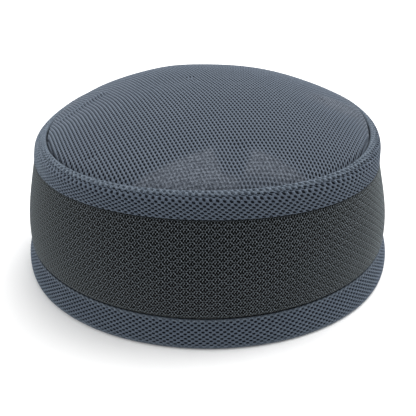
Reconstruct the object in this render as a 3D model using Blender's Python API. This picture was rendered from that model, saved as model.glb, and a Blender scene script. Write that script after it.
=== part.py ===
"""A kufi: a round brimless cap of airy mesh cloth, lying on its open rim.

The cap is four pieces of cloth sewn in a stack. The hem band stands on its folded
rim, a charcoal middle band bulges over it, a shoulder band rounds over the top edge,
and a domed crown fills the ring of the shoulder band. Metres, +Z up, the origin at
the centre of the rim on the surface that the cap lies on. The front is towards -Y.
"""

import math
from collections import namedtuple

import bmesh
import bpy

# Driving sizes
rim_radius = 0.0964
hem_height = 0.0140
middle_height = 0.0462
shoulder_height = 0.0120
crown_rise = 0.0215

# How far each seam lies inside the rim
hem_seam_inset = 0.0028
shoulder_seam_inset = 0.0078
crown_seam_inset = 0.0119

# Cloth thicknesses, the hem's being two layers folded over a stiffening tape
hem_wall = 0.0032
middle_wall = 0.0024
shoulder_wall = 0.0024
crown_wall = 0.0020

# How far each piece swells past the straight line between its seams
hem_swell = 0.0009
middle_swell = 0.0019
shoulder_swell = 0.0028
crown_pillow = 0.0032

# The foot that the hem is pressed flat to, the rolled cloth edges and the slit of a seam
foot_width = 0.0016
edge_roll = 0.0006
seam_gap = 0.0003

# How far the seams wander up and down, and how deep the crown's dents go
seam_wander = 0.0010
dent_depth = 0.0020

# Facets
steps_around = 76
steps_up = 6
crown_rings = 11

# The dome's outline: its height falls as (1 - share ** fall) ** round_off towards the seam
crown_fall = 2.6
crown_round_off = 1.25
pillow_fall = 16

# The plan at each seam, as shares of the radius: oval is longer left to right, and a
# negative square flattens the front, back and sides. Drift shifts the ring to the right.
# Wander is a share of seam_wander, upwards on the right.
Plan = namedtuple("Plan", "place oval square drift wander")
plans = (
    Plan("rim", 0.002, -0.004, 0.000, 0.0),
    Plan("hem seam", 0.012, 0.002, -0.003, 0.5),
    Plan("shoulder seam", 0.008, -0.016, -0.005, -0.9),
    Plan("crown seam", -0.006, -0.018, 0.000, 0.7),
)

# Dents and swellings of the crown. Bearing is in degrees from the right-hand side,
# counter-clockwise from above. Reach and size are shares of the crown's radius, and
# depth is a share of dent_depth, upwards.
Dent = namedtuple("Dent", "bearing reach size depth")
dents = (
    Dent(35, 0.84, 0.24, 0.20),
    Dent(158, 0.84, 0.22, -0.80),
    Dent(118, 0.86, 0.22, -0.50),
    Dent(-92, 0.62, 0.30, -0.50),
    Dent(176, 0.92, 0.16, -0.60),
    Dent(80, 0.35, 0.30, 0.25),
)

# Heights and radii of the seams
hem_seam_height = hem_height
shoulder_seam_height = hem_seam_height + middle_height
crown_seam_height = shoulder_seam_height + shoulder_height
hem_seam_radius = rim_radius - hem_seam_inset
shoulder_seam_radius = rim_radius - shoulder_seam_inset
crown_seam_radius = rim_radius - crown_seam_inset
plan_heights = (0.0, hem_seam_height, shoulder_seam_height, crown_seam_height)

slate = (0.105, 0.125, 0.155, 1.0)
charcoal = (0.030, 0.033, 0.036, 1.0)


def clear_scene():
    for obj in list(bpy.data.objects):
        bpy.data.objects.remove(obj)


def cloth(name, colour):
    """A dull knitted cloth of one colour."""
    material = bpy.data.materials.new(name)
    material.use_nodes = True
    shader = material.node_tree.nodes["Principled BSDF"]
    shader.inputs["Base Color"].default_value = colour
    shader.inputs["Roughness"].default_value = 0.85
    shader.inputs["Metallic"].default_value = 0.0
    return material


def eased(share):
    """A share from 0 to 1 with soft ends."""
    return share * share * (3 - 2 * share)


def plan_at(height):
    """Oval, square, drift and wander at a height, eased from one seam to the next."""
    height = min(max(height, plan_heights[0]), plan_heights[-1])
    last = len(plans) - 2
    low = max(i for i in range(last + 1) if i == 0 or plan_heights[i] <= height)
    span = plan_heights[low + 1] - plan_heights[low]
    share = eased((height - plan_heights[low]) / span)
    below, above = plans[low], plans[low + 1]
    return tuple(below[k] + (above[k] - below[k]) * share for k in (1, 2, 3, 4))


def placed(radius, height, bearing, reach=1.0):
    """The point at a bearing round the cap. Reach fades the plan's shape to a circle at the centre."""
    oval, square, drift, wander = plan_at(height)
    shape = oval * math.cos(2 * bearing) + square * math.cos(4 * bearing)
    out = radius * (1 + shape * reach)
    shift = radius * drift * reach
    lift = seam_wander * wander * math.cos(bearing) * reach
    return (out * math.cos(bearing) + shift, out * math.sin(bearing), height + lift)


def swollen_line(low, high, swell, steps, fullest=0.5):
    """Points from low to high (radius, height) that swell outwards by a sine hump, fullest part way up."""
    along = (high[0] - low[0], high[1] - low[1])
    length = math.hypot(*along)
    out = (along[1] / length, -along[0] / length)
    power = math.log(0.5) / math.log(fullest)
    line = []
    for i in range(steps + 1):
        share = i / steps
        push = swell * math.sin(math.pi * share**power)
        line.append((low[0] + along[0] * share + out[0] * push, low[1] + along[1] * share + out[1] * push))
    return line


def offset_inwards(line, wall):
    """The same line moved in by the wall, square to each point's own direction."""
    moved = []
    for i, (radius, height) in enumerate(line):
        before, after = line[max(i - 1, 0)], line[min(i + 1, len(line) - 1)]
        along = (after[0] - before[0], after[1] - before[1])
        length = math.hypot(*along)
        moved.append((radius - along[1] / length * wall, height + along[0] / length * wall))
    return moved


def between(a, b, distance):
    """The point at a distance from a towards b."""
    share = distance / math.hypot(b[0] - a[0], b[1] - a[1])
    return (a[0] + (b[0] - a[0]) * share, a[1] + (b[1] - a[1]) * share)


def rolled_section(outer, inner):
    """A closed section: up the outer line and down the inner one, with all four corners rolled off."""
    foot_out = between(outer[0], inner[0], edge_roll)
    foot_in = between(inner[0], outer[0], edge_roll)
    top_out = between(outer[-1], inner[-1], edge_roll)
    top_in = between(inner[-1], outer[-1], edge_roll)
    up = [foot_out, between(outer[0], outer[1], edge_roll), *outer[1:-1]]
    up += [between(outer[-1], outer[-2], edge_roll), top_out]
    down = [top_in, between(inner[-1], inner[-2], edge_roll), *reversed(inner[1:-1])]
    down += [between(inner[0], inner[1], edge_roll), foot_in]
    return up + down


def object_from(name, material, build):
    """A named object whose mesh the given function fills, shaded smooth but for its sharp edges."""
    mesh = bpy.data.meshes.new(name)
    shape = bmesh.new()
    build(shape)
    bmesh.ops.recalc_face_normals(shape, faces=shape.faces)
    shape.to_mesh(mesh)
    shape.free()
    mesh.materials.append(material)
    mesh.shade_smooth()
    mesh.set_sharp_from_angle(angle=math.radians(50))
    obj = bpy.data.objects.new(name, mesh)
    bpy.context.scene.collection.objects.link(obj)
    return obj


def ring_of(shape, radius, height, reach=1.0, lift=None):
    """One closed loop of vertices round the cap."""
    loop = []
    for i in range(steps_around):
        bearing = 2 * math.pi * i / steps_around
        x, y, z = placed(radius, height, bearing, reach)
        if lift:
            z += lift(reach, bearing)
        loop.append(shape.verts.new((x, y, z)))
    return loop


def skin_between(shape, first, second):
    """Quads between two loops of as many vertices."""
    for i in range(len(first)):
        j = (i + 1) % len(first)
        shape.faces.new((first[i], first[j], second[j], second[i]))


def band(name, material, section):
    """A ring of cloth with a closed section of (radius, height) points."""

    def build(shape):
        loops = [ring_of(shape, radius, height) for radius, height in section]
        for i, loop in enumerate(loops):
            skin_between(shape, loop, loops[(i + 1) % len(loops)])

    return object_from(name, material, build)


def hem_band(material):
    """The hem: a strip folded under at the rim, where it is pressed to a flat foot."""
    half_gap = seam_gap / 2
    seam = (hem_seam_radius, hem_seam_height - half_gap)
    turn = (hem_wall - foot_width) / 2
    low = (rim_radius, turn)
    outer = swollen_line(low, seam, hem_swell, steps_up, fullest=0.4)
    inner = [(radius - hem_wall, height) for radius, height in outer]
    foot_out = (rim_radius - turn, 0.0)
    foot_in = (rim_radius - turn - foot_width, 0.0)
    bend = turn * (1 - math.sqrt(0.5))
    section = [foot_out, (rim_radius - bend, bend), *outer[:-1]]
    section += [between(outer[-1], outer[-2], edge_roll), between(outer[-1], inner[-1], edge_roll)]
    section += [between(inner[-1], outer[-1], edge_roll), between(inner[-1], inner[-2], edge_roll)]
    section += [*reversed(inner[:-1]), (rim_radius - hem_wall + bend, bend), foot_in]
    return band("hem_band", material, section)


def middle_band(material):
    """The charcoal band, which bulges between its two seams."""
    half_gap = seam_gap / 2
    low = (hem_seam_radius, hem_seam_height + half_gap)
    high = (shoulder_seam_radius, shoulder_seam_height - half_gap)
    outer = swollen_line(low, high, middle_swell, steps_up, fullest=0.42)
    return band("middle_band", material, rolled_section(outer, offset_inwards(outer, middle_wall)))


def shoulder_line():
    """The outside of the shoulder band: nearly upright, then round over the top edge to the crown seam."""
    half_gap = seam_gap / 2
    low = (shoulder_seam_radius, shoulder_seam_height + half_gap)
    high = (crown_seam_radius + half_gap, crown_seam_height)
    return swollen_line(low, high, shoulder_swell, steps_up, fullest=0.62)


def shoulder_band(material):
    """The band between the charcoal one and the crown."""
    outer = shoulder_line()
    return band("shoulder_band", material, rolled_section(outer, offset_inwards(outer, shoulder_wall)))


def crown_height(share):
    """The dome's height over the crown seam at a share of its radius: a rounded dome on a pillowed edge."""
    dome = (crown_rise - crown_pillow) * (1 - share**crown_fall) ** crown_round_off
    return dome + crown_pillow * (1 - share**pillow_fall)


def crown_lift(share, bearing):
    """What the dents and swellings add to the dome's height. It fades out at the seam."""
    x, y = share * math.cos(bearing), share * math.sin(bearing)
    lift = 0.0
    for dent in dents:
        towards = math.radians(dent.bearing)
        away = math.hypot(x - dent.reach * math.cos(towards), y - dent.reach * math.sin(towards))
        lift += dent_depth * dent.depth * math.exp(-((away / dent.size) ** 2))
    return lift * (1 - share**pillow_fall)


def crown(material):
    """The domed top, a shell that is open below, with its edge tucked in beside the shoulder band."""
    radius = crown_seam_radius - seam_gap / 2
    shares = [math.sin(math.pi / 2 * i / crown_rings) for i in range(1, crown_rings + 1)]
    outer = [(radius * share, crown_seam_height + crown_height(share)) for share in shares]
    inner = offset_inwards(list(reversed(outer)), crown_wall)
    inner.reverse()

    def build(shape):
        def cap(line, top_height):
            loops = [ring_of(shape, r, h, s, crown_lift) for (r, h), s in zip(line, shares)]
            top = shape.verts.new((0.0, 0.0, top_height + crown_lift(0.0, 0.0)))
            for i in range(steps_around):
                shape.faces.new((top, loops[0][i], loops[0][(i + 1) % steps_around]))
            for lower, upper in zip(loops[1:], loops[:-1]):
                skin_between(shape, upper, lower)
            return loops[-1]

        peak = crown_seam_height + crown_height(0.0)
        skin_between(shape, cap(outer, peak), cap(inner, peak - crown_wall))

    return object_from("crown", material, build)


def main():
    clear_scene()
    slate_mesh = cloth("slate_mesh", slate)
    charcoal_net = cloth("charcoal_net", charcoal)
    hem_band(slate_mesh)
    middle_band(charcoal_net)
    shoulder_band(slate_mesh)
    crown(slate_mesh)


main()
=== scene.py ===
import math
import bmesh
import bpy
import numpy as np
from mathutils import Matrix


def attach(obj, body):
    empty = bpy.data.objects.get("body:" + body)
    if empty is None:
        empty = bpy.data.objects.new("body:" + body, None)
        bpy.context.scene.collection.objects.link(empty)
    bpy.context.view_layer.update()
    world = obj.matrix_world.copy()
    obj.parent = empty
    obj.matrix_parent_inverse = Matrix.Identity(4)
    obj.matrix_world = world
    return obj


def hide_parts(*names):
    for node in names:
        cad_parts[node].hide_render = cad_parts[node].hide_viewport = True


# A kufi of airy mesh cloth: domed crown, shoulder band, charcoal middle band and folded hem.
# Shapes are worked out in millimetres and become metres when they go into a mesh.

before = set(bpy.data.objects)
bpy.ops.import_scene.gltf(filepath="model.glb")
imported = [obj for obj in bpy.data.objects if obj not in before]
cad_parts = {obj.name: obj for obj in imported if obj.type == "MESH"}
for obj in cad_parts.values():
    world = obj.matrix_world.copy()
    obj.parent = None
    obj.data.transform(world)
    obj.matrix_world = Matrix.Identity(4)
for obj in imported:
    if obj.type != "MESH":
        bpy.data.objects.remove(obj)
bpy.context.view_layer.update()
print("frame loaded:", sorted(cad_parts))

# The cap's own form

capForm = {
    "seamHeights": (0.0, 14.0, 60.2, 72.2),     # rim, hem seam, shoulder seam, crown seam
    "seamRadii": (96.4, 93.6, 89.1, 84.5),
    "seamGap": 0.3,
    # for each seam: oval, square, drift to the right, wander upwards on the right
    "plans": ((0.002, -0.004, 0.000, 0.0), (0.012, 0.002, -0.003, 0.5),
              (0.008, -0.016, -0.005, -0.9), (-0.006, -0.018, 0.000, 0.7)),
    # where the cap's upper edge sags: bearing and half width in degrees, how far down and outwards
    "sags": ((172, 42, 2.0, 0.0), (175, 26, 0.3, 1.0), (6, 30, 0.3, 0.6)),
    "sagHeights": (56, 68, 72),                 # where a sag starts, is fully out and fully down
}
fineSteps = 200                                 # points along a section before it is spaced evenly


def smoothBetween(low, high, value):
    # 0 at low, 1 at high, and 3t^2 - 2t^3 of the share t between them
    share = np.clip((value - low) / (high - low), 0, 1)
    return share * share * (3 - 2 * share)


def around(bearing, centre, half):
    # 1 at the centre bearing, given in degrees, and 0 from half as many degrees away
    away = np.abs(np.angle(np.exp(1j * (bearing - math.radians(centre)))))
    return smoothBetween(math.radians(half), 0, away)


def planAt(height):
    # each plan number goes smoothly from one seam's to the next
    knots, table = np.array(capForm["seamHeights"]), np.array(capForm["plans"])
    low = np.clip(np.searchsorted(knots, height, side="right") - 1, 0, 2)
    eased = smoothBetween(knots[low], knots[low + 1], height)[..., None]
    return np.moveaxis(table[low] + (table[low + 1] - table[low]) * eased, -1, 0)


def onCap(radius, height, bearing, reach=1.0):
    # Radius times (1 + oval cos 2a + square cos 4a), shifted by the drift, lifted by wander cos a
    # and let down by the sags. reach is how much of all this holds.
    oval, square, drift, wander = planAt(height)
    start, fullyOut, fullyDown = capForm["sagHeights"]
    out = radius * (1 + (oval * np.cos(2 * bearing) + square * np.cos(4 * bearing)) * reach)
    lift = wander * np.cos(bearing) * reach
    for centre, half, depth, push in capForm["sags"]:
        there = around(bearing, centre, half)
        out = out + push * there * smoothBetween(start, fullyOut, height) * reach
        lift = lift - depth * there * smoothBetween(start, fullyDown, height) * reach
    x = out * np.cos(bearing) + radius * drift * reach
    return np.stack([x, out * np.sin(bearing), height + lift], -1)


def swollen(low, high, swell, share, fullest):
    # straight from low to high, pushed out square to that line by swell sin(pi share^power)
    low, high = np.array(low), np.array(high)
    along = high - low
    out = np.array([along[1], -along[0]]) / np.hypot(*along)
    push = swell * np.sin(math.pi * share ** (math.log(0.5) / math.log(fullest)))
    return low + along * share[:, None] + out * push[:, None]


def sideways(line):
    # the unit normal of a (radius, height) line, to the right of its direction, which is outwards
    along = np.gradient(line, axis=0)
    along /= np.linalg.norm(along, axis=1, keepdims=True)
    return np.stack([along[:, 1], -along[:, 0]], -1)


def lengthAlong(line):
    steps = np.linalg.norm(np.diff(line, axis=0), axis=1)
    return np.concatenate([[0.0], np.cumsum(steps)])


def evenly(line, count):
    # the same line with count points at even distances
    run = lengthAlong(line)
    spots = np.linspace(0, run[-1], count)
    return np.stack([np.interp(spots, run, line[:, 0]), np.interp(spots, run, line[:, 1])], -1)


def roundedEdge(centre, out, wall, edge, rows):
    # the points of half an ellipse, edge deep and wall across, from the out side to the other
    turn = np.linspace(0, math.pi, rows + 2)[1:-1, None]
    onward = np.array([-out[1], out[0]])
    return centre + out * np.cos(turn) * wall / 2 + onward * np.sin(turn) * edge


def clothSection(line, strip):
    # A strip of cloth seen end on, as one closed loop: up the face, round the top edge, down the
    # back and round the bottom edge.
    wall, edge = strip["wall"], strip["edge"]
    run = lengthAlong(line)
    spots = np.linspace(edge, run[-1] - edge, fineSteps)
    middle = np.stack([np.interp(spots, run, line[:, k]) for k in (0, 1)], -1)
    middle = middle - sideways(middle) * wall / 2
    face, back = evenly(middle, strip["faceRows"]), evenly(middle, strip["backRows"])[::-1]
    faceOut, backOut = sideways(face), -sideways(back[::-1])[::-1]
    top = roundedEdge(face[-1], faceOut[-1], wall, edge, strip["edgeRows"])
    bottom = roundedEdge(face[0], -faceOut[0], wall, edge, strip["edgeRows"])
    loop = np.concatenate([face + faceOut * wall / 2, top, back + backOut * wall / 2, bottom])
    normals = np.concatenate([faceOut, np.zeros_like(top), backOut, np.zeros_like(bottom)])
    return loop, normals, lengthAlong(face)


# Meshes from whole arrays


def meshFromQuads(name, points, quads, uvs, openness):
    # points in millimetres, quads as rows of four point numbers, uvs one pair for each corner
    mesh = bpy.data.meshes.new(name)
    mesh.vertices.add(len(points))
    mesh.vertices.foreach_set("co", (points * 0.001).astype(np.float32).ravel())
    mesh.loops.add(quads.size)
    mesh.loops.foreach_set("vertex_index", quads.astype(np.int32).ravel())
    mesh.polygons.add(len(quads))
    mesh.polygons.foreach_set("loop_start", np.arange(0, quads.size, 4, dtype=np.int32))
    mesh.polygons.foreach_set("use_smooth", np.ones(len(quads), dtype=bool))
    mesh.update(calc_edges=True)
    layer = mesh.uv_layers.new(name="clothGrain")
    layer.data.foreach_set("uv", uvs.astype(np.float32).ravel())
    amount = mesh.attributes.new("openness", "FLOAT", "POINT")
    amount.data.foreach_set("value", openness.astype(np.float32).ravel())
    mesh.validate()
    return mesh


def addPiece(name, mesh, material, node):
    mesh.materials.append(material)
    piece = bpy.data.objects.new(name, mesh)
    bpy.context.scene.collection.objects.link(piece)
    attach(piece, "root")
    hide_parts(node)
    print(name, "has", sum(len(p.vertices) - 2 for p in mesh.polygons), "triangles")
    return piece


def ringPiece(name, section, columns, grain, relief, openness, material, node):
    # A closed section carried round the cap. grain(bearing, height along) gives the pattern's two
    # coordinates, relief of those gives how deep the face dips in, square to the section, and
    # openness(bearing, share of the height) gives how far the holes show.
    loop, normals, run = section
    rows, faceRows = len(loop), len(run)
    bearing = np.arange(columns + 1) * 2 * math.pi / columns
    along = np.interp(np.arange(rows), np.arange(faceRows), run)
    along[faceRows:] = np.interp(loop[faceRows:, 1], loop[:faceRows, 1], run)
    wrap = 3                                     # rows round each edge that the pattern follows
    along[faceRows:faceRows + wrap] = run[-1] + lengthAlong(loop[faceRows - 1:faceRows + wrap])[1:]
    along[-wrap:] = -lengthAlong(np.concatenate([loop[:1], loop[:-wrap - 1:-1]]))[:0:-1]
    first, second = grain(bearing[None, :], along[:, None])
    dip = relief(first[:, :-1], second[:, :-1])
    fade = np.where(np.arange(rows) < faceRows, 1.0, 0.0)
    fade[[0, faceRows - 1]] = 0.35               # the face's first and last rows dip less
    dip *= fade[:, None]
    radius = loop[:, :1] - normals[:, :1] * dip
    height = loop[:, 1:] - normals[:, 1:] * dip
    points = onCap(radius, height, np.broadcast_to(bearing[:-1], dip.shape))
    row, column = np.meshgrid(np.arange(rows), np.arange(columns), indexing="ij")
    nextRow, nextColumn = (row + 1) % rows, (column + 1) % columns
    quads = np.stack([row * columns + column, row * columns + nextColumn,
                      nextRow * columns + nextColumn, nextRow * columns + column], -1)
    corners = []
    for r, c in ((row, column), (row, column + 1), (nextRow, column + 1), (nextRow, column)):
        corners.append(np.stack([first[r, c], second[r, c]], -1))
    uvs = np.stack(corners, -2)
    shown = np.broadcast_to(openness(bearing[None, :-1], along[:, None] / run[-1]), dip.shape)
    mesh = meshFromQuads(name, points.reshape(-1, 3), quads.reshape(-1, 4), uvs, shown)
    return addPiece(name, mesh, material, node)


def wave(turns):
    # the cosine of an angle given in whole turns
    return np.cos(2 * math.pi * turns)


# Shader groups, each built once


def startGroup(name, inputs, outputs):
    group = bpy.data.node_groups.new(name, "ShaderNodeTree")
    for label, kind, value in inputs:
        socket = group.interface.new_socket(label, in_out="INPUT", socket_type=kind)
        if value is not None:
            socket.default_value = value
    for label, kind in outputs:
        group.interface.new_socket(label, in_out="OUTPUT", socket_type=kind)
    return group, group.nodes.new("NodeGroupInput"), group.nodes.new("NodeGroupOutput")


def maths(tree, how, first, second=None, third=None):
    node = tree.nodes.new("ShaderNodeMath")
    node.operation = how
    for i, value in enumerate((first, second, third)):
        if value is None:
            continue
        if isinstance(value, (int, float)):
            node.inputs[i].default_value = value
        else:
            tree.links.new(value, node.inputs[i])
    return node.outputs[0]


def ranged(tree, value, low, high, outLow=0.0, outHigh=1.0):
    node = tree.nodes.new("ShaderNodeMapRange")
    node.interpolation_type = "SMOOTHSTEP"
    for label, given in (("Value", value), ("From Min", low), ("From Max", high),
                         ("To Min", outLow), ("To Max", outHigh)):
        if isinstance(given, (int, float)):
            node.inputs[label].default_value = given
        else:
            tree.links.new(given, node.inputs[label])
    return node.outputs["Result"]


def mixed(tree, amount, first, second):
    node = tree.nodes.new("ShaderNodeMix")
    node.data_type = "RGBA"
    for i, value in ((0, amount), (6, first), (7, second)):
        if isinstance(value, (int, float, tuple)):
            node.inputs[i].default_value = value
        else:
            tree.links.new(value, node.inputs[i])
    return node.outputs[2]


def makeMeshGroup():
    # holes where first cos u + second cos v + third cos(u + v) is high, threads where it is low
    group, given, out = startGroup(
        "knitMesh",
        [("Grain", "NodeSocketVector", None), ("First", "NodeSocketFloat", 1.0),
         ("Second", "NodeSocketFloat", 1.0), ("Third", "NodeSocketFloat", 0.0),
         ("Open From", "NodeSocketFloat", 0.2), ("Open To", "NodeSocketFloat", 1.2)],
        [("Hole", "NodeSocketFloat"), ("Height", "NodeSocketFloat")])
    split = group.nodes.new("ShaderNodeSeparateXYZ")
    group.links.new(given.outputs["Grain"], split.inputs[0])
    u = maths(group, "MULTIPLY", split.outputs[0], 2 * math.pi)
    v = maths(group, "MULTIPLY", split.outputs[1], 2 * math.pi)
    first = maths(group, "MULTIPLY", maths(group, "COSINE", u), given.outputs["First"])
    both = maths(group, "MULTIPLY_ADD", maths(group, "COSINE", v), given.outputs["Second"], first)
    third = maths(group, "COSINE", maths(group, "ADD", u, v))
    total = maths(group, "MULTIPLY_ADD", third, given.outputs["Third"], both)
    hole = ranged(group, total, given.outputs["Open From"], given.outputs["Open To"])
    group.links.new(hole, out.inputs["Hole"])
    group.links.new(maths(group, "MULTIPLY", total, -0.5), out.inputs["Height"])
    return group


# The net's repeat, charted: each small hole's place across and up from the figure's middle,
# as shares of a figure, with how far it opens and how dark it is. A knot has its place and its light.
netHoles = ((0.000, 0.000, 1.03, 1.00), (-0.250, 0.005, 1.16, 1.00), (0.250, 0.005, 1.15, 1.00),
            (-0.138, 0.232, 1.00, 0.93), (0.095, 0.222, 1.06, 1.00), (-0.122, -0.208, 1.08, 1.00),
            (0.108, -0.202, 1.08, 1.00), (0.500, 0.010, 1.14, 0.95))
netKnots = ((0.24, 0.23, 0.3), (0.39, 0.11, 0.2))


def makeNetGroup():
    # A spot is high where cos a + cos b + rounding cos(a - b) is near its top, with a and b counted
    # from its own place. Holes are the darkest spot at each point. Light is high on the threads in the
    # middle of a figure, where cos a + cos b is high, and at its knots; these paler threads are
    # brightened further as a painted glint.
    group, given, out = startGroup(
        "fineNet", [("Grain", "NodeSocketVector", None), ("Soft", "NodeSocketFloat", 0.3)],
        [("Hole", "NodeSocketFloat"), ("Height", "NodeSocketFloat"), ("Light", "NodeSocketFloat")])
    split = group.nodes.new("ShaderNodeSeparateXYZ")
    group.links.new(given.outputs["Grain"], split.inputs[0])
    rounding, spread = 0.45, 0.665               # a hole's roundness, and how it grows with its size

    def spot(across, up):
        a = maths(group, "MULTIPLY_ADD", split.outputs[0], 2 * math.pi, -2 * math.pi * (across + up))
        b = maths(group, "MULTIPLY_ADD", split.outputs[1], 2 * math.pi, -2 * math.pi * (up - across))
        both = maths(group, "ADD", maths(group, "COSINE", a), maths(group, "COSINE", b))
        aside = maths(group, "COSINE", maths(group, "SUBTRACT", a, b))
        return both, maths(group, "MULTIPLY_ADD", aside, rounding, both)

    hole = None
    for across, up, opened, dark in netHoles:
        half = 2 + rounding - spread * opened ** 2
        low = maths(group, "MULTIPLY_ADD", given.outputs["Soft"], -1.0, half)
        high = maths(group, "ADD", given.outputs["Soft"], half)
        made = maths(group, "MULTIPLY", ranged(group, spot(across, up)[1], low, high), dark)
        hole = made if hole is None else maths(group, "MAXIMUM", hole, made)
    light = ranged(group, spot(0.0, 0.0)[0], 0.0, 1.3, 0.0, 0.9)
    for across, up, bright in netKnots:
        knot = maths(group, "MULTIPLY", ranged(group, spot(across, up)[1], 1.5, 2.4), bright)
        light = maths(group, "ADD", light, knot)
    group.links.new(hole, out.inputs["Hole"])
    group.links.new(maths(group, "MULTIPLY_ADD", light, 0.3, maths(group, "MULTIPLY", hole, -1.0)),
                    out.inputs["Height"])
    group.links.new(maths(group, "MULTIPLY", light, 0.5), out.inputs["Light"])
    return group


def makeYarnGroup():
    # the uneven tone of the yarn, the fuzz of its fibres and slow changes over the cloth
    group, given, out = startGroup(
        "yarnTone",
        [("Vector", "NodeSocketVector", None), ("Fibre Size", "NodeSocketFloat", 2600.0),
         ("Fleck Size", "NodeSocketFloat", 1300.0), ("Cloud Size", "NodeSocketFloat", 45.0)],
        [("Fibre", "NodeSocketFloat"), ("Fleck", "NodeSocketFloat"), ("Cloud", "NodeSocketFloat")])
    fibre = group.nodes.new("ShaderNodeTexNoise")
    fibre.inputs["Detail"].default_value = 3.0
    fleck = group.nodes.new("ShaderNodeTexNoise")
    fleck.inputs["Detail"].default_value = 1.0
    cloud = group.nodes.new("ShaderNodeTexNoise")
    cloud.inputs["Detail"].default_value = 2.0
    for node, label in ((fibre, "Fibre"), (fleck, "Fleck"), (cloud, "Cloud")):
        group.links.new(given.outputs["Vector"], node.inputs["Vector"])
        group.links.new(given.outputs[label + " Size"], node.inputs["Scale"])
        group.links.new(node.outputs[0], out.inputs[label])
    return group


knitMesh, fineNet, yarnTone = makeMeshGroup(), makeNetGroup(), makeYarnGroup()


def clothMaterial(name, look, group, weights=None):
    # Threads and holes from the pattern group, tone from the yarn group, soft sheen on the shader.
    # The openness attribute says how far the holes show, and mesh that is closed has flecked yarn.
    material = bpy.data.materials.new(name)
    material.use_nodes = True
    tree = material.node_tree
    shader = tree.nodes["Principled BSDF"]
    shader.inputs["Roughness"].default_value = look["roughness"]
    shader.inputs["Specular IOR Level"].default_value = look["specular"]
    shader.inputs["Sheen Weight"].default_value = look["sheen"]
    shader.inputs["Sheen Roughness"].default_value = 0.45
    shader.inputs["Sheen Tint"].default_value = look["sheenTint"]
    grain = tree.nodes.new("ShaderNodeUVMap")
    grain.uv_map = "clothGrain"
    place = tree.nodes.new("ShaderNodeTexCoord")
    pattern = tree.nodes.new("ShaderNodeGroup")
    pattern.node_tree = group
    tree.links.new(grain.outputs[0], pattern.inputs["Grain"])
    for label, value in look["pattern"].items():
        pattern.inputs[label].default_value = value
    for label, weight in zip(("First", "Second", "Third"), weights or ()):
        pattern.inputs[label].default_value = weight
    tone = tree.nodes.new("ShaderNodeGroup")
    tone.node_tree = yarnTone
    tree.links.new(place.outputs["Object"], tone.inputs["Vector"])
    amount = tree.nodes.new("ShaderNodeAttribute")
    amount.attribute_name = "openness"
    hole = maths(tree, "MULTIPLY", pattern.outputs["Hole"], amount.outputs["Fac"])
    fibre = ranged(tree, tone.outputs["Fibre"], 0.3, 0.7)
    thread = mixed(tree, fibre, look["threadDark"], look["threadLight"])
    cloud = ranged(tree, tone.outputs["Cloud"], 0.3, 0.7, 0.0, look["cloud"])
    thread = mixed(tree, cloud, thread, look["threadCloud"])
    if "Light" in pattern.outputs:
        # the figure's paler threads, brightened past the yarn's own tone as a painted glint
        thread = mixed(tree, pattern.outputs["Light"], thread, look["threadBrightGlint"])
    else:
        fleck = ranged(tree, tone.outputs["Fleck"], 0.38, 0.62)
        flecked = mixed(tree, fleck, look["fleckDark"], look["fleckLight"])
        thread = mixed(tree, ranged(tree, amount.outputs["Fac"], 0.95, 0.45), thread, flecked)
    # the hole colour is painted shade: the cap's unlit inside seen through the holes
    colour = mixed(tree, hole, thread, look["hole"])
    tree.links.new(colour, shader.inputs["Base Color"])
    height = maths(tree, "MULTIPLY_ADD", tone.outputs["Fibre"], 0.25, pattern.outputs["Height"])
    bump = tree.nodes.new("ShaderNodeBump")
    bump.inputs["Strength"].default_value = look["bump"]
    bump.inputs["Distance"].default_value = look["bumpDepth"]
    tree.links.new(height, bump.inputs["Height"])
    tree.links.new(bump.outputs[0], shader.inputs["Normal"])
    return material


# each look's 'hole' colour is painted shade, the dark inside of the cap seen through the holes
stripLook = {
    "threadLight": (0.118, 0.144, 0.183, 1), "threadDark": (0.077, 0.098, 0.127, 1),
    "threadCloud": (0.088, 0.110, 0.146, 1), "fleckDark": (0.080, 0.100, 0.128, 1),
    "fleckLight": (0.135, 0.163, 0.200, 1), "cloud": 0.5, "hole": (0.008, 0.010, 0.015, 1),
    "pattern": {"Open From": -0.3, "Open To": 0.85}, "roughness": 0.9, "specular": 0.08,
    "sheen": 0.14, "sheenTint": (0.75, 0.87, 1.0, 1), "bump": 0.6, "bumpDepth": 0.0005,
}
crownLook = dict(stripLook, threadLight=(0.128, 0.154, 0.193, 1), threadDark=(0.091, 0.110, 0.139, 1),
                 threadCloud=(0.099, 0.121, 0.155, 1), fleckDark=(0.061, 0.071, 0.089, 1),
                 fleckLight=(0.134, 0.153, 0.184, 1), sheen=0.10,
                 pattern={"Open From": -0.5, "Open To": 0.65})
shoulderLook = dict(stripLook, threadLight=(0.102, 0.124, 0.159, 1),
                    threadDark=(0.067, 0.085, 0.111, 1), threadCloud=(0.076, 0.096, 0.127, 1))
# the near-black 'hole' colour is painted shade seen through the net's holes
charcoalLook = {
    "threadLight": (0.145, 0.167, 0.190, 1), "threadDark": (0.099, 0.115, 0.132, 1),
    # the bright thread colour is partly the figure's paler threads and partly a painted glint
    "threadCloud": (0.107, 0.125, 0.142, 1), "threadBrightGlint": (0.320, 0.360, 0.405, 1),
    "cloud": 0.4, "hole": (0.0005, 0.0006, 0.0008, 1), "pattern": {"Soft": 0.16},
    "roughness": 0.9, "specular": 0.05, "sheen": 0.22, "sheenTint": (0.9, 1.0, 1.0, 1),
    "bump": 0.8, "bumpDepth": 0.0005,
}
# how strong the weave's three waves are: they make its holes round, slanting or lined up
hemWeights, shoulderWeights, crownWeights = (1.0, 1.0, 0.1), (1.15, 0.85, 0.35), (1.15, 0.65, 0.7)
hemMesh = clothMaterial("hemMesh", stripLook, knitMesh, hemWeights)
shoulderMesh = clothMaterial("shoulderMesh", shoulderLook, knitMesh, shoulderWeights)
crownMesh = clothMaterial("crownMesh", crownLook, knitMesh, crownWeights)
charcoalNet = clothMaterial("charcoalNet", charcoalLook, fineNet)
print("materials made")

# Hem: a strip folded under at the rim

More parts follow.
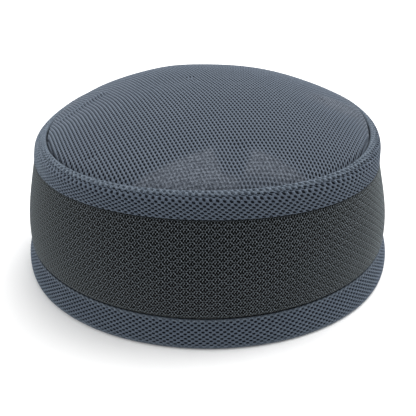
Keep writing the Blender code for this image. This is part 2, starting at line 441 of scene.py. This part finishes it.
hemStrip = {
    "wall": 1.4, "apart": 0.4, "faceRows": 40, "columns": 1504, "edge": 0.7, "edgeRows": 3,
    "foldRows": 6, "swell": 0.9, "fullest": 0.4,
    "holeDepth": 0.65, "dips": (-0.3, 1.4),     # the weave where a dip starts and where it is full
    "repeats": (-188, 184), "rise": (0.470, 0.504), "shear": (0.0, 0.0),
    "closedShare": 0.08, "closed": 0.6,         # how wide the closed edges are, and how far closed
}


def hemSection(strip):
    # Up the outside from the fold, over the edge, down between the two layers, round the inside of
    # the fold, up to the inner layer's edge, down its far side and round the outside of the fold.
    wall, gap, edge = strip["wall"], strip["apart"], strip["edge"]
    fold = wall + gap / 2
    rim, seam = capForm["seamRadii"][:2]
    steps = 120
    line = swollen((rim, fold), (seam, capForm["seamHeights"][1] - capForm["seamGap"] / 2 - edge),
                   strip["swell"], np.linspace(0, 1, steps), strip["fullest"])
    out = sideways(line)
    face = evenly(line, strip["faceRows"])
    faceOut = sideways(face)
    few = [0, steps // 2, steps - 1]             # the layers' hidden sides need only three rows
    gapOut, gapIn = line - out * wall, line - out * (wall + gap)
    inner = line - out * (2 * wall + gap)
    middle = np.array([line[0][0] - fold, line[0][1]])
    turn = np.linspace(0, math.pi, strip["foldRows"] + 2)[1:-1, None]
    halfCircle = np.concatenate([-np.cos(turn), -np.sin(turn)], 1)
    innerFold = middle + halfCircle[[-2, 1]] * gap / 2
    outerFold = middle + halfCircle * fold
    outerFold[:, 1] = np.maximum(outerFold[:, 1], 0.0)
    faceTop, innerTop = [roundedEdge(end - out[-1] * wall / 2, out[-1], wall, edge, strip["edgeRows"])
                         for end in (line[-1], gapIn[-1])]
    loop = np.concatenate([face, faceTop, gapOut[few][::-1], innerFold, gapIn[few], innerTop,
                           inner[few][::-1], outerFold])
    normals = np.concatenate([faceOut, np.zeros((len(loop) - len(face), 2))])
    return loop, normals, lengthAlong(face)


def stripGrain(strip):
    # u and v grow with the bearing by whole repeats a turn, and with the height by the rise, which
    # changes by the shear times cos of the bearing
    def grain(bearing, along):
        turns, lean = bearing / (2 * math.pi), np.cos(bearing)
        return [repeats * turns + (rise + shear * lean) * along
                for repeats, rise, shear in zip(strip["repeats"], strip["rise"], strip["shear"])]
    return grain


def weave(u, v, weights):
    # the sum of three waves, across u, across v and across both, high in the mesh's holes
    return weights[0] * wave(u) + weights[1] * wave(v) + weights[2] * wave(u + v)


def holeDip(strip, weights):
    # the cloth dips in by the hole's depth where the weave's sum is high
    def relief(u, v):
        return strip["holeDepth"] * smoothBetween(*strip["dips"], weave(u, v, weights))
    return relief


def hemOpen(bearing, share):
    # nearly closed along the two edges, where the strip turns over
    width = hemStrip["closedShare"]
    edges = smoothBetween(1 - width, 1, share) + smoothBetween(width, 0, share)
    return 1 - hemStrip["closed"] * edges


hem = ringPiece("hemCloth", hemSection(hemStrip), hemStrip["columns"], stripGrain(hemStrip),
                holeDip(hemStrip, hemWeights), hemOpen, hemMesh, "hem_band")

# Middle band: fine charcoal net

middleStrip = {
    "wall": 2.2, "faceRows": 89, "columns": 840, "edge": 0.8, "edgeRows": 4, "backRows": 8,
    "swell": 1.9, "fullest": 0.42, "lowInset": 0.45, "lowRise": 0.1, "inset": 0.25,
    "figures": 105, "figureRows": 8,            # figures round the cap, rows of points in each
    "holeDepth": 0.45, "faintDip": 0.4,
}


def middleSection(strip):
    gap, radii, heights = capForm["seamGap"] / 2, capForm["seamRadii"], capForm["seamHeights"]
    line = swollen((radii[1] - strip["lowInset"], heights[1] + strip["lowRise"] + gap),
                   (radii[2] - strip["inset"], heights[2] - gap),
                   strip["swell"], np.linspace(0, 1, fineSteps), strip["fullest"])
    loop, normals, run = clothSection(line, strip)
    strip["figureHeight"] = run[-1] / (strip["faceRows"] - 1) * strip["figureRows"]
    print("net figure height", round(strip["figureHeight"], 3))
    return loop, normals, run


def netGrain(bearing, along):
    # figures across a turn and up the band, taken together as the figure's two slanting directions
    across = middleStrip["figures"] * bearing / (2 * math.pi)
    up = along / middleStrip["figureHeight"]
    return across + up, up - across


def netDip(u, v):
    # The small holes' centres lie on every second point of the grid, as on a chessboard. The faint
    # hole between two figures dips least.
    across, up = (u - v) / 2, (u + v) / 2
    row, column = np.rint(up * 4), np.rint(across * 8)
    there = (np.abs(up * 4 - row) < 0.1) & ((row + column) % 2 == 0)
    faint = (wave(u) + wave(v)) < -1.5
    return middleStrip["holeDepth"] * there * np.where(faint, middleStrip["faintDip"], 1.0)


def netOpen(bearing, share):
    # the net's holes show everywhere
    return 1.0


middle = ringPiece("middleCloth", middleSection(middleStrip), middleStrip["columns"], netGrain, netDip,
                   netOpen, charcoalNet, "middle_band")

# Shoulder band: slate strip that rounds over the top edge

shoulderStrip = {
    "wall": 2.2, "faceRows": 42, "columns": 1600, "edge": 0.7, "edgeRows": 4, "backRows": 6,
    "swell": 2.8, "fullest": 0.62, "overlap": 0.5, "lift": 0.7,
    "holeDepth": 0.65, "dips": (-0.3, 1.4),
    "repeats": (195, -165), "rise": (0.51, 0.37), "shear": (0.21, -0.26),
    # under the rolled edge: depth, place and width, as shares of the height
    "groove": 0.45, "grooveAt": 0.80, "grooveWidth": 0.045,
    # bearing and half width in degrees, and how far the holes close there
    "quiet": ((180, 62, 0.9), (90, 90, 0.4), (20, 35, 0.4)), "quietMost": 0.85,
    # below the roll the holes open wider: partly a row of larger holes, partly painted shade
    "belowRollHolesAndShade": 0.4, "rollClosed": 0.8,        # how far the holes open below the roll and close on it
}


def shoulderSection(strip):
    gap, radii, heights = capForm["seamGap"] / 2, capForm["seamRadii"], capForm["seamHeights"]
    share = np.linspace(0, 1, fineSteps)
    line = swollen((radii[2], heights[2] + gap),
                   (radii[3] - strip["overlap"], heights[3] + strip["lift"]),
                   strip["swell"], share, strip["fullest"])
    groove = strip["groove"] * np.exp(-(((share - strip["grooveAt"]) / strip["grooveWidth"]) ** 2))
    line = line - sideways(line) * groove[:, None]
    return clothSection(line, strip)


def shoulderOpen(bearing, share):
    # nearly closed where the strip rolls over the crown's edge, half closed at the left and back,
    # and opened wider just below the roll, a darker band that is partly larger holes and partly
    # painted shade under the roll
    strip = shoulderStrip
    quiet = sum(amount * around(bearing, centre, half) for centre, half, amount in strip["quiet"])
    below = smoothBetween(0.73, 0.79, share) * smoothBetween(0.88, 0.84, share)
    roll = smoothBetween(0.85, 0.91, share)
    shown = 1 - np.minimum(quiet, strip["quietMost"])
    return shown * (1 + strip["belowRollHolesAndShade"] * below) * (1 - strip["rollClosed"] * roll)


shoulder = ringPiece("shoulderCloth", shoulderSection(shoulderStrip), shoulderStrip["columns"],
                     stripGrain(shoulderStrip), holeDip(shoulderStrip, shoulderWeights), shoulderOpen,
                     shoulderMesh, "shoulder_band")

# Crown: one round of slate mesh, domed

crownForm = {
    "rise": 21.5, "pillow": 3.2, "fall": 2.6, "roundOff": 1.25, "pillowFall": 16,
    "wall": 2.0, "holeDepth": 0.6, "dips": (-0.3, 1.6),
    # the mesh's grain: repeats for each millimetre of the flat cloth to the right and to the back,
    # and rows of points for each repeat
    "grain": ((0.541, 0.222), (-0.604, 0.280)), "steps": (3, 4),
    # bearing in degrees, reach and size as shares of the radius, height in millimetres
    "dents": ((35, 0.84, 0.24, -0.9), (158, 0.84, 0.22, -1.0), (118, 0.86, 0.22, -0.6),
              (-92, 0.62, 0.30, -1.0), (180, 0.90, 0.16, -1.4), (80, 0.35, 0.30, 0.5),
              (115, 0.62, 0.20, 0.9)),
    # soft folds: both ends in millimetres, height and width
    "folds": ((-75, -6, -56, 9, 1.0, 3.0), (58, -3, 76, 0, 0.8, 4.5), (13, -62, 11, -80, -0.9, 4.0),
              (24, -66, 40, -72, 0.7, 4.0), (-53, -57, -50, -57, -0.9, 1.3),
              (-50, -66.5, -48, -66.5, -0.8, 1.3), (-10, 7.5, -8, 7.5, -0.5, 1.5)),
    # beside the seam the crown sinks by this much at the sides, and less at the front
    "sink": 3.2, "sinkFrom": 0.968, "sinkTo": 0.992,
    # how far the holes close over the backed part, towards the edge and over the right-hand fold;
    # the closing at the edge and the fold is partly plainer cloth and partly a painted highlight
    "backedClosed": 0.64, "rimClosedPlainAndHighlight": 0.45, "foldClosedHighlight": 1.4,
    # the plain inner skin: its points, how near the edge it starts and how far below it
    "skinColumns": 120, "skinRings": 14, "skinReach": 0.97, "skinDrop": 0.6,
}
seamRadius, seamHeight = capForm["seamRadii"][3], capForm["seamHeights"][3]
crownRadius = seamRadius - capForm["seamGap"] / 2


def sideShare(bearing):
    # 1 at the cap's left and right, 0.5 at its back and 0.15 at its front
    forward = np.abs(np.angle(np.exp(1j * (bearing + math.pi / 2))))
    sides = 0.15 + 0.85 * smoothBetween(0.55, 1.15, forward)
    return sides * (1 - 0.5 * smoothBetween(2.2, 2.8, forward))


def domeProfile(share):
    # (rise - pillow)(1 - s^fall)^roundOff + pillow(1 - s^pillowFall), where s is a share of the radius
    form = crownForm
    dome = (form["rise"] - form["pillow"]) * (1 - share ** form["fall"]) ** form["roundOff"]
    return dome + form["pillow"] * (1 - share ** form["pillowFall"])


def domeHeight(x, y):
    # the profile, with round dents and folds of height exp(-(distance / size)^2) on top
    form = crownForm
    share = np.clip(np.hypot(x, y), 0, 1)
    edge = 1 - share ** form["pillowFall"]
    total = domeProfile(share)
    for bearing, reach, size, depth in form["dents"]:
        towards = math.radians(bearing)
        away = np.hypot(x - reach * math.cos(towards), y - reach * math.sin(towards))
        total = total + depth * np.exp(-((away / size) ** 2)) * edge
    for x0, y0, x1, y1, height, width in form["folds"]:
        startX, startY, runX, runY = x * seamRadius - x0, y * seamRadius - y0, x1 - x0, y1 - y0
        along = np.clip((startX * runX + startY * runY) / (runX ** 2 + runY ** 2), 0, 1)
        away = np.hypot(startX - along * runX, startY - along * runY)
        total = total + height * np.exp(-((away / width) ** 2)) * edge
    sunk = smoothBetween(form["sinkFrom"], form["sinkTo"], share) * sideShare(np.arctan2(y, x))
    return seamHeight + total - form["sink"] * sunk


# Where the crown lies against the layer under it at the front: a fan with a notch in its middle,
# in millimetres from the crown's middle. Each pair is where a soft change starts and ends.
backedFan = {
    "edge": -61.0, "level": (3, 18), "slope": 0.46, "softness": (-2.5, 3.5),
    "notchMiddle": 10.5, "notchHalf": 5.0, "notchFlare": 4.0, "flareHeights": (-77, -62),
    "notchHeights": (-80, -74), "notchStrength": 0.9,
    "rightFrom": (8, 16), "rightHeights": (-72, -79), "rightFaded": 0.55,
}


def backedShare(x, y):
    # 1 on the fan and 0 off it. The part to the right of the notch ends before the seam.
    fan = backedFan
    x, y = x * seamRadius, y * seamRadius
    left, right = fan["level"]
    edge = fan["edge"] - fan["slope"] * np.maximum(np.maximum(left - x, x - right), 0)
    inside = smoothBetween(*fan["softness"], edge - y)
    half = fan["notchHalf"] + fan["notchFlare"] * smoothBetween(*fan["flareHeights"], y)
    notch = smoothBetween(1.35, 0.6, np.abs(x - fan["notchMiddle"]) / half)
    notch = notch * smoothBetween(*fan["notchHeights"], y)
    faded = smoothBetween(*fan["rightFrom"], x) * smoothBetween(*fan["rightHeights"], y)
    return inside * (1 - fan["notchStrength"] * notch) * (1 - fan["rightFaded"] * faded)


def crownOpenness(x, y):
    # The holes fade over the backed part, towards the edge at the back and on the right, and over
    # the fold on the right. Fading at the edge and the fold lightens the cloth there, partly as
    # plainer cloth and partly as a painted highlight along the right-hand edge and fold.
    form = crownForm
    rim = smoothBetween(0.80, 0.96, np.hypot(x, y)) * smoothBetween(-0.35, 0.15, y + 0.2 * x)
    fold = np.exp(-((x - 0.80) / 0.22) ** 2 - ((y + 0.06) / 0.13) ** 2)
    closed = form["rimClosedPlainAndHighlight"] * np.maximum(rim, form["foldClosedHighlight"] * fold)
    return (1 - form["backedClosed"] * backedShare(x, y)) * (1 - closed)


def crownPoints(x, y):
    # x and y are shares of the radius, so the plan's shape fades towards the centre
    share = np.hypot(x, y)
    flat = onCap(crownRadius * share, np.full_like(x, seamHeight), np.arctan2(y, x), share)
    flat[..., 2] += domeHeight(x, y) - seamHeight
    return flat


def crownNormals(x, y, step=0.004):
    # the cross product of the surface's two slopes
    right = crownPoints(x + step, y) - crownPoints(x - step, y)
    back = crownPoints(x, y + step) - crownPoints(x, y - step)
    normal = np.cross(right, back)
    return normal / np.linalg.norm(normal, axis=-1, keepdims=True)


def crownFace():
    # The face is a grid along the mesh's own two directions, laid over the dome by distance from its
    # middle. Its points beyond the seam end up on it.
    form = crownForm
    grain = np.array(form["grain"])
    across = np.linalg.inv(grain)                 # columns: the steps of u and v in millimetres
    shares = np.linspace(0, 1, 400)
    reaches = lengthAlong(np.stack([shares * crownRadius, domeProfile(shares)], -1))
    print("crown cloth is", round(reaches[-1], 1), "mm from middle to seam")
    reach = int(reaches[-1] * 1.05 * np.abs(grain).sum(1).max()) + 2
    counts = [2 * reach * steps + 1 for steps in form["steps"]]
    u, v = np.meshgrid(np.linspace(-reach, reach, counts[0]), np.linspace(-reach, reach, counts[1]),
                       indexing="ij")
    flatX, flatY = across[0, 0] * u + across[0, 1] * v, across[1, 0] * u + across[1, 1] * v
    away = np.hypot(flatX, flatY)
    inside = away < reaches[-1] - 0.04            # leaves out slivers at the seam
    cell = inside[:-1, :-1] | inside[1:, :-1] | inside[1:, 1:] | inside[:-1, 1:]
    scale = np.interp(away, reaches, shares) / np.maximum(away, 1e-9)
    x, y = flatX * scale, flatY * scale
    openness = crownOpenness(x, y)
    plainEdge = 1 - smoothBetween(0.985, 1.0, np.hypot(x, y))
    dip = holeDip(form, crownWeights)(u, v) * plainEdge
    dip = dip * np.clip(openness * 1.4 - 0.4, 0, 1)          # no dips where the mesh is mostly closed
    safe = np.minimum(1.0, 0.995 / np.maximum(np.hypot(x, y), 1e-9))     # normals from inside the seam
    points = crownPoints(x, y) - crownNormals(x * safe, y * safe) * dip[..., None]
    numbers = np.arange(u.size).reshape(u.shape)
    quads = np.stack([numbers[:-1, :-1], numbers[1:, :-1], numbers[1:, 1:], numbers[:-1, 1:]], -1)[cell]
    if np.linalg.det(across) < 0:
        quads = quads[:, ::-1]
    used, packed = np.unique(quads, return_inverse=True)
    uvs = np.stack([u, v], -1).reshape(-1, 2)[quads]
    return meshFromQuads("crownCloth", points.reshape(-1, 3)[used], packed.reshape(quads.shape), uvs,
                         openness.reshape(-1)[used])


def crownSkin():
    # rings of points a wall's thickness inside the face, from the edge to near the middle
    form = crownForm
    bearings = np.arange(form["skinColumns"]) * 2 * math.pi / form["skinColumns"]
    rings = np.sin(np.linspace(1, 0, form["skinRings"] + 1)[:-1] * math.pi / 2)[:, None]
    pulled = rings * np.minimum(1.0, form["skinReach"] / rings)
    x, y = pulled * np.cos(bearings), pulled * np.sin(bearings)
    skin = crownPoints(x, y) - crownNormals(x, y) * form["wall"]
    skin[0] = onCap(np.full_like(bearings, crownRadius - form["wall"]),
                    np.full_like(bearings, seamHeight), bearings)
    skin[0, :, 2] -= form["sink"] * sideShare(bearings) + form["skinDrop"]
    return skin


def closeCrown(mesh):
    # the inner skin closes the shell, bridged to the face's rim
    form = crownForm
    openness = np.zeros(len(mesh.vertices), dtype=np.float32)
    mesh.attributes["openness"].data.foreach_get("value", openness)
    shape = bmesh.new()
    shape.from_mesh(mesh)
    layer = shape.loops.layers.uv["clothGrain"]
    rim = [edge for edge in shape.edges if len(edge.link_faces) == 1]
    rows = [[shape.verts.new(point * 0.001) for point in ring] for ring in crownSkin()]
    peak = shape.verts.new((0, 0, (domeHeight(np.zeros(1), np.zeros(1))[0] - form["wall"]) * 0.001))
    pairs = [(i, (i + 1) % form["skinColumns"]) for i in range(form["skinColumns"])]
    made = []
    for outer, inner in zip(rows[:-1], rows[1:]):
        made += [shape.faces.new((outer[i], inner[i], inner[j], outer[j])) for i, j in pairs]
    made += [shape.faces.new((rows[-1][i], peak, rows[-1][j])) for i, j in pairs]
    skinRim = [shape.edges.get((rows[0][i], rows[0][j])) for i, j in pairs]
    made += bmesh.ops.bridge_loops(shape, edges=rim + skinRim)["faces"]
    grain = np.array(form["grain"])
    for face in made:
        face.smooth = True
        for corner in face.loops:
            corner[layer].uv = grain @ (np.array(corner.vert.co[:2]) * 1000)
    shape.to_mesh(mesh)
    shape.free()
    values = np.ones(len(mesh.vertices), dtype=np.float32)
    values[:len(openness)] = openness
    mesh.attributes["openness"].data.foreach_set("value", values)


crownShell = crownFace()
closeCrown(crownShell)
crown = addPiece("crownCloth", crownShell, crownMesh, "crown")

# Floor, light and camera

studio = {
    "floor": (0.97, 0.97, 0.97, 1), "floorReach": 4.0,
    "room": (1.0, 1.0, 1.0, 1), "roomStrength": 0.68, "lampTarget": (0, 0, 0.04),
    # name, place, size and power in watts; each looks at its target, the cap
    "lights": (("overhead", (0.42, 0.50, 1.20), 1.4, 26.4), ("leftSide", (-1.1, 0.10, 0.24), 0.8, 7.8),
               ("rightSide", (1.1, 0.25, 0.70), 0.8, 2.6)),
    # the camera looks down by the tilt at a point on the cap's middle line, from this far away
    "lens": 63.17, "sensor": 36.0, "tilt": 27, "away": 0.400, "aim": 0.0221,
}


def lookAt(thing, place, target):
    # turns the thing so that its -Z points at the target and its Y is as upright as it can be
    back = np.array(place, float) - np.array(target, float)
    back /= np.linalg.norm(back)
    right = np.cross([0, 0, 1], back)
    right /= np.linalg.norm(right)
    up = np.cross(back, right)
    matrix = np.eye(4)
    matrix[:3, 0], matrix[:3, 1], matrix[:3, 2], matrix[:3, 3] = right, up, back, place
    thing.matrix_world = Matrix(matrix.tolist())


def makeStudio():
    reach = studio["floorReach"]
    corners = [(-reach, -reach, 0), (reach, -reach, 0), (reach, reach, 0), (-reach, reach, 0)]
    mesh = bpy.data.meshes.new("floor")
    mesh.from_pydata(corners, [], [(0, 1, 2, 3)])
    paper = bpy.data.materials.new("paperFloor")
    paper.use_nodes = True
    shader = paper.node_tree.nodes["Principled BSDF"]
    shader.inputs["Base Color"].default_value = studio["floor"]
    shader.inputs["Roughness"].default_value = 0.9
    mesh.materials.append(paper)
    floor = bpy.data.objects.new("floor", mesh)
    bpy.context.scene.collection.objects.link(floor)
    world = bpy.data.worlds.new("room")
    world.use_nodes = True
    sky = world.node_tree.nodes["Background"]
    sky.inputs["Color"].default_value = studio["room"]
    sky.inputs["Strength"].default_value = studio["roomStrength"]
    bpy.context.scene.world = world
    for name, place, size, power in studio["lights"]:
        lamp = bpy.data.lights.new(name, "AREA")
        lamp.size = size
        lamp.energy = power
        made = bpy.data.objects.new(name, lamp)
        bpy.context.scene.collection.objects.link(made)
        lookAt(made, place, studio["lampTarget"])
    view = bpy.data.cameras.new("camera")
    view.lens = studio["lens"]
    view.sensor_width = studio["sensor"]
    camera = bpy.data.objects.new("camera", view)
    bpy.context.scene.collection.objects.link(camera)
    tilt, away, aim = math.radians(studio["tilt"]), studio["away"], studio["aim"]
    lookAt(camera, (0, -away * math.cos(tilt), aim + away * math.sin(tilt)), (0, 0, aim))
    bpy.context.scene.camera = camera
    bpy.context.scene.view_settings.view_transform = "Standard"


makeStudio()
print("studio set")
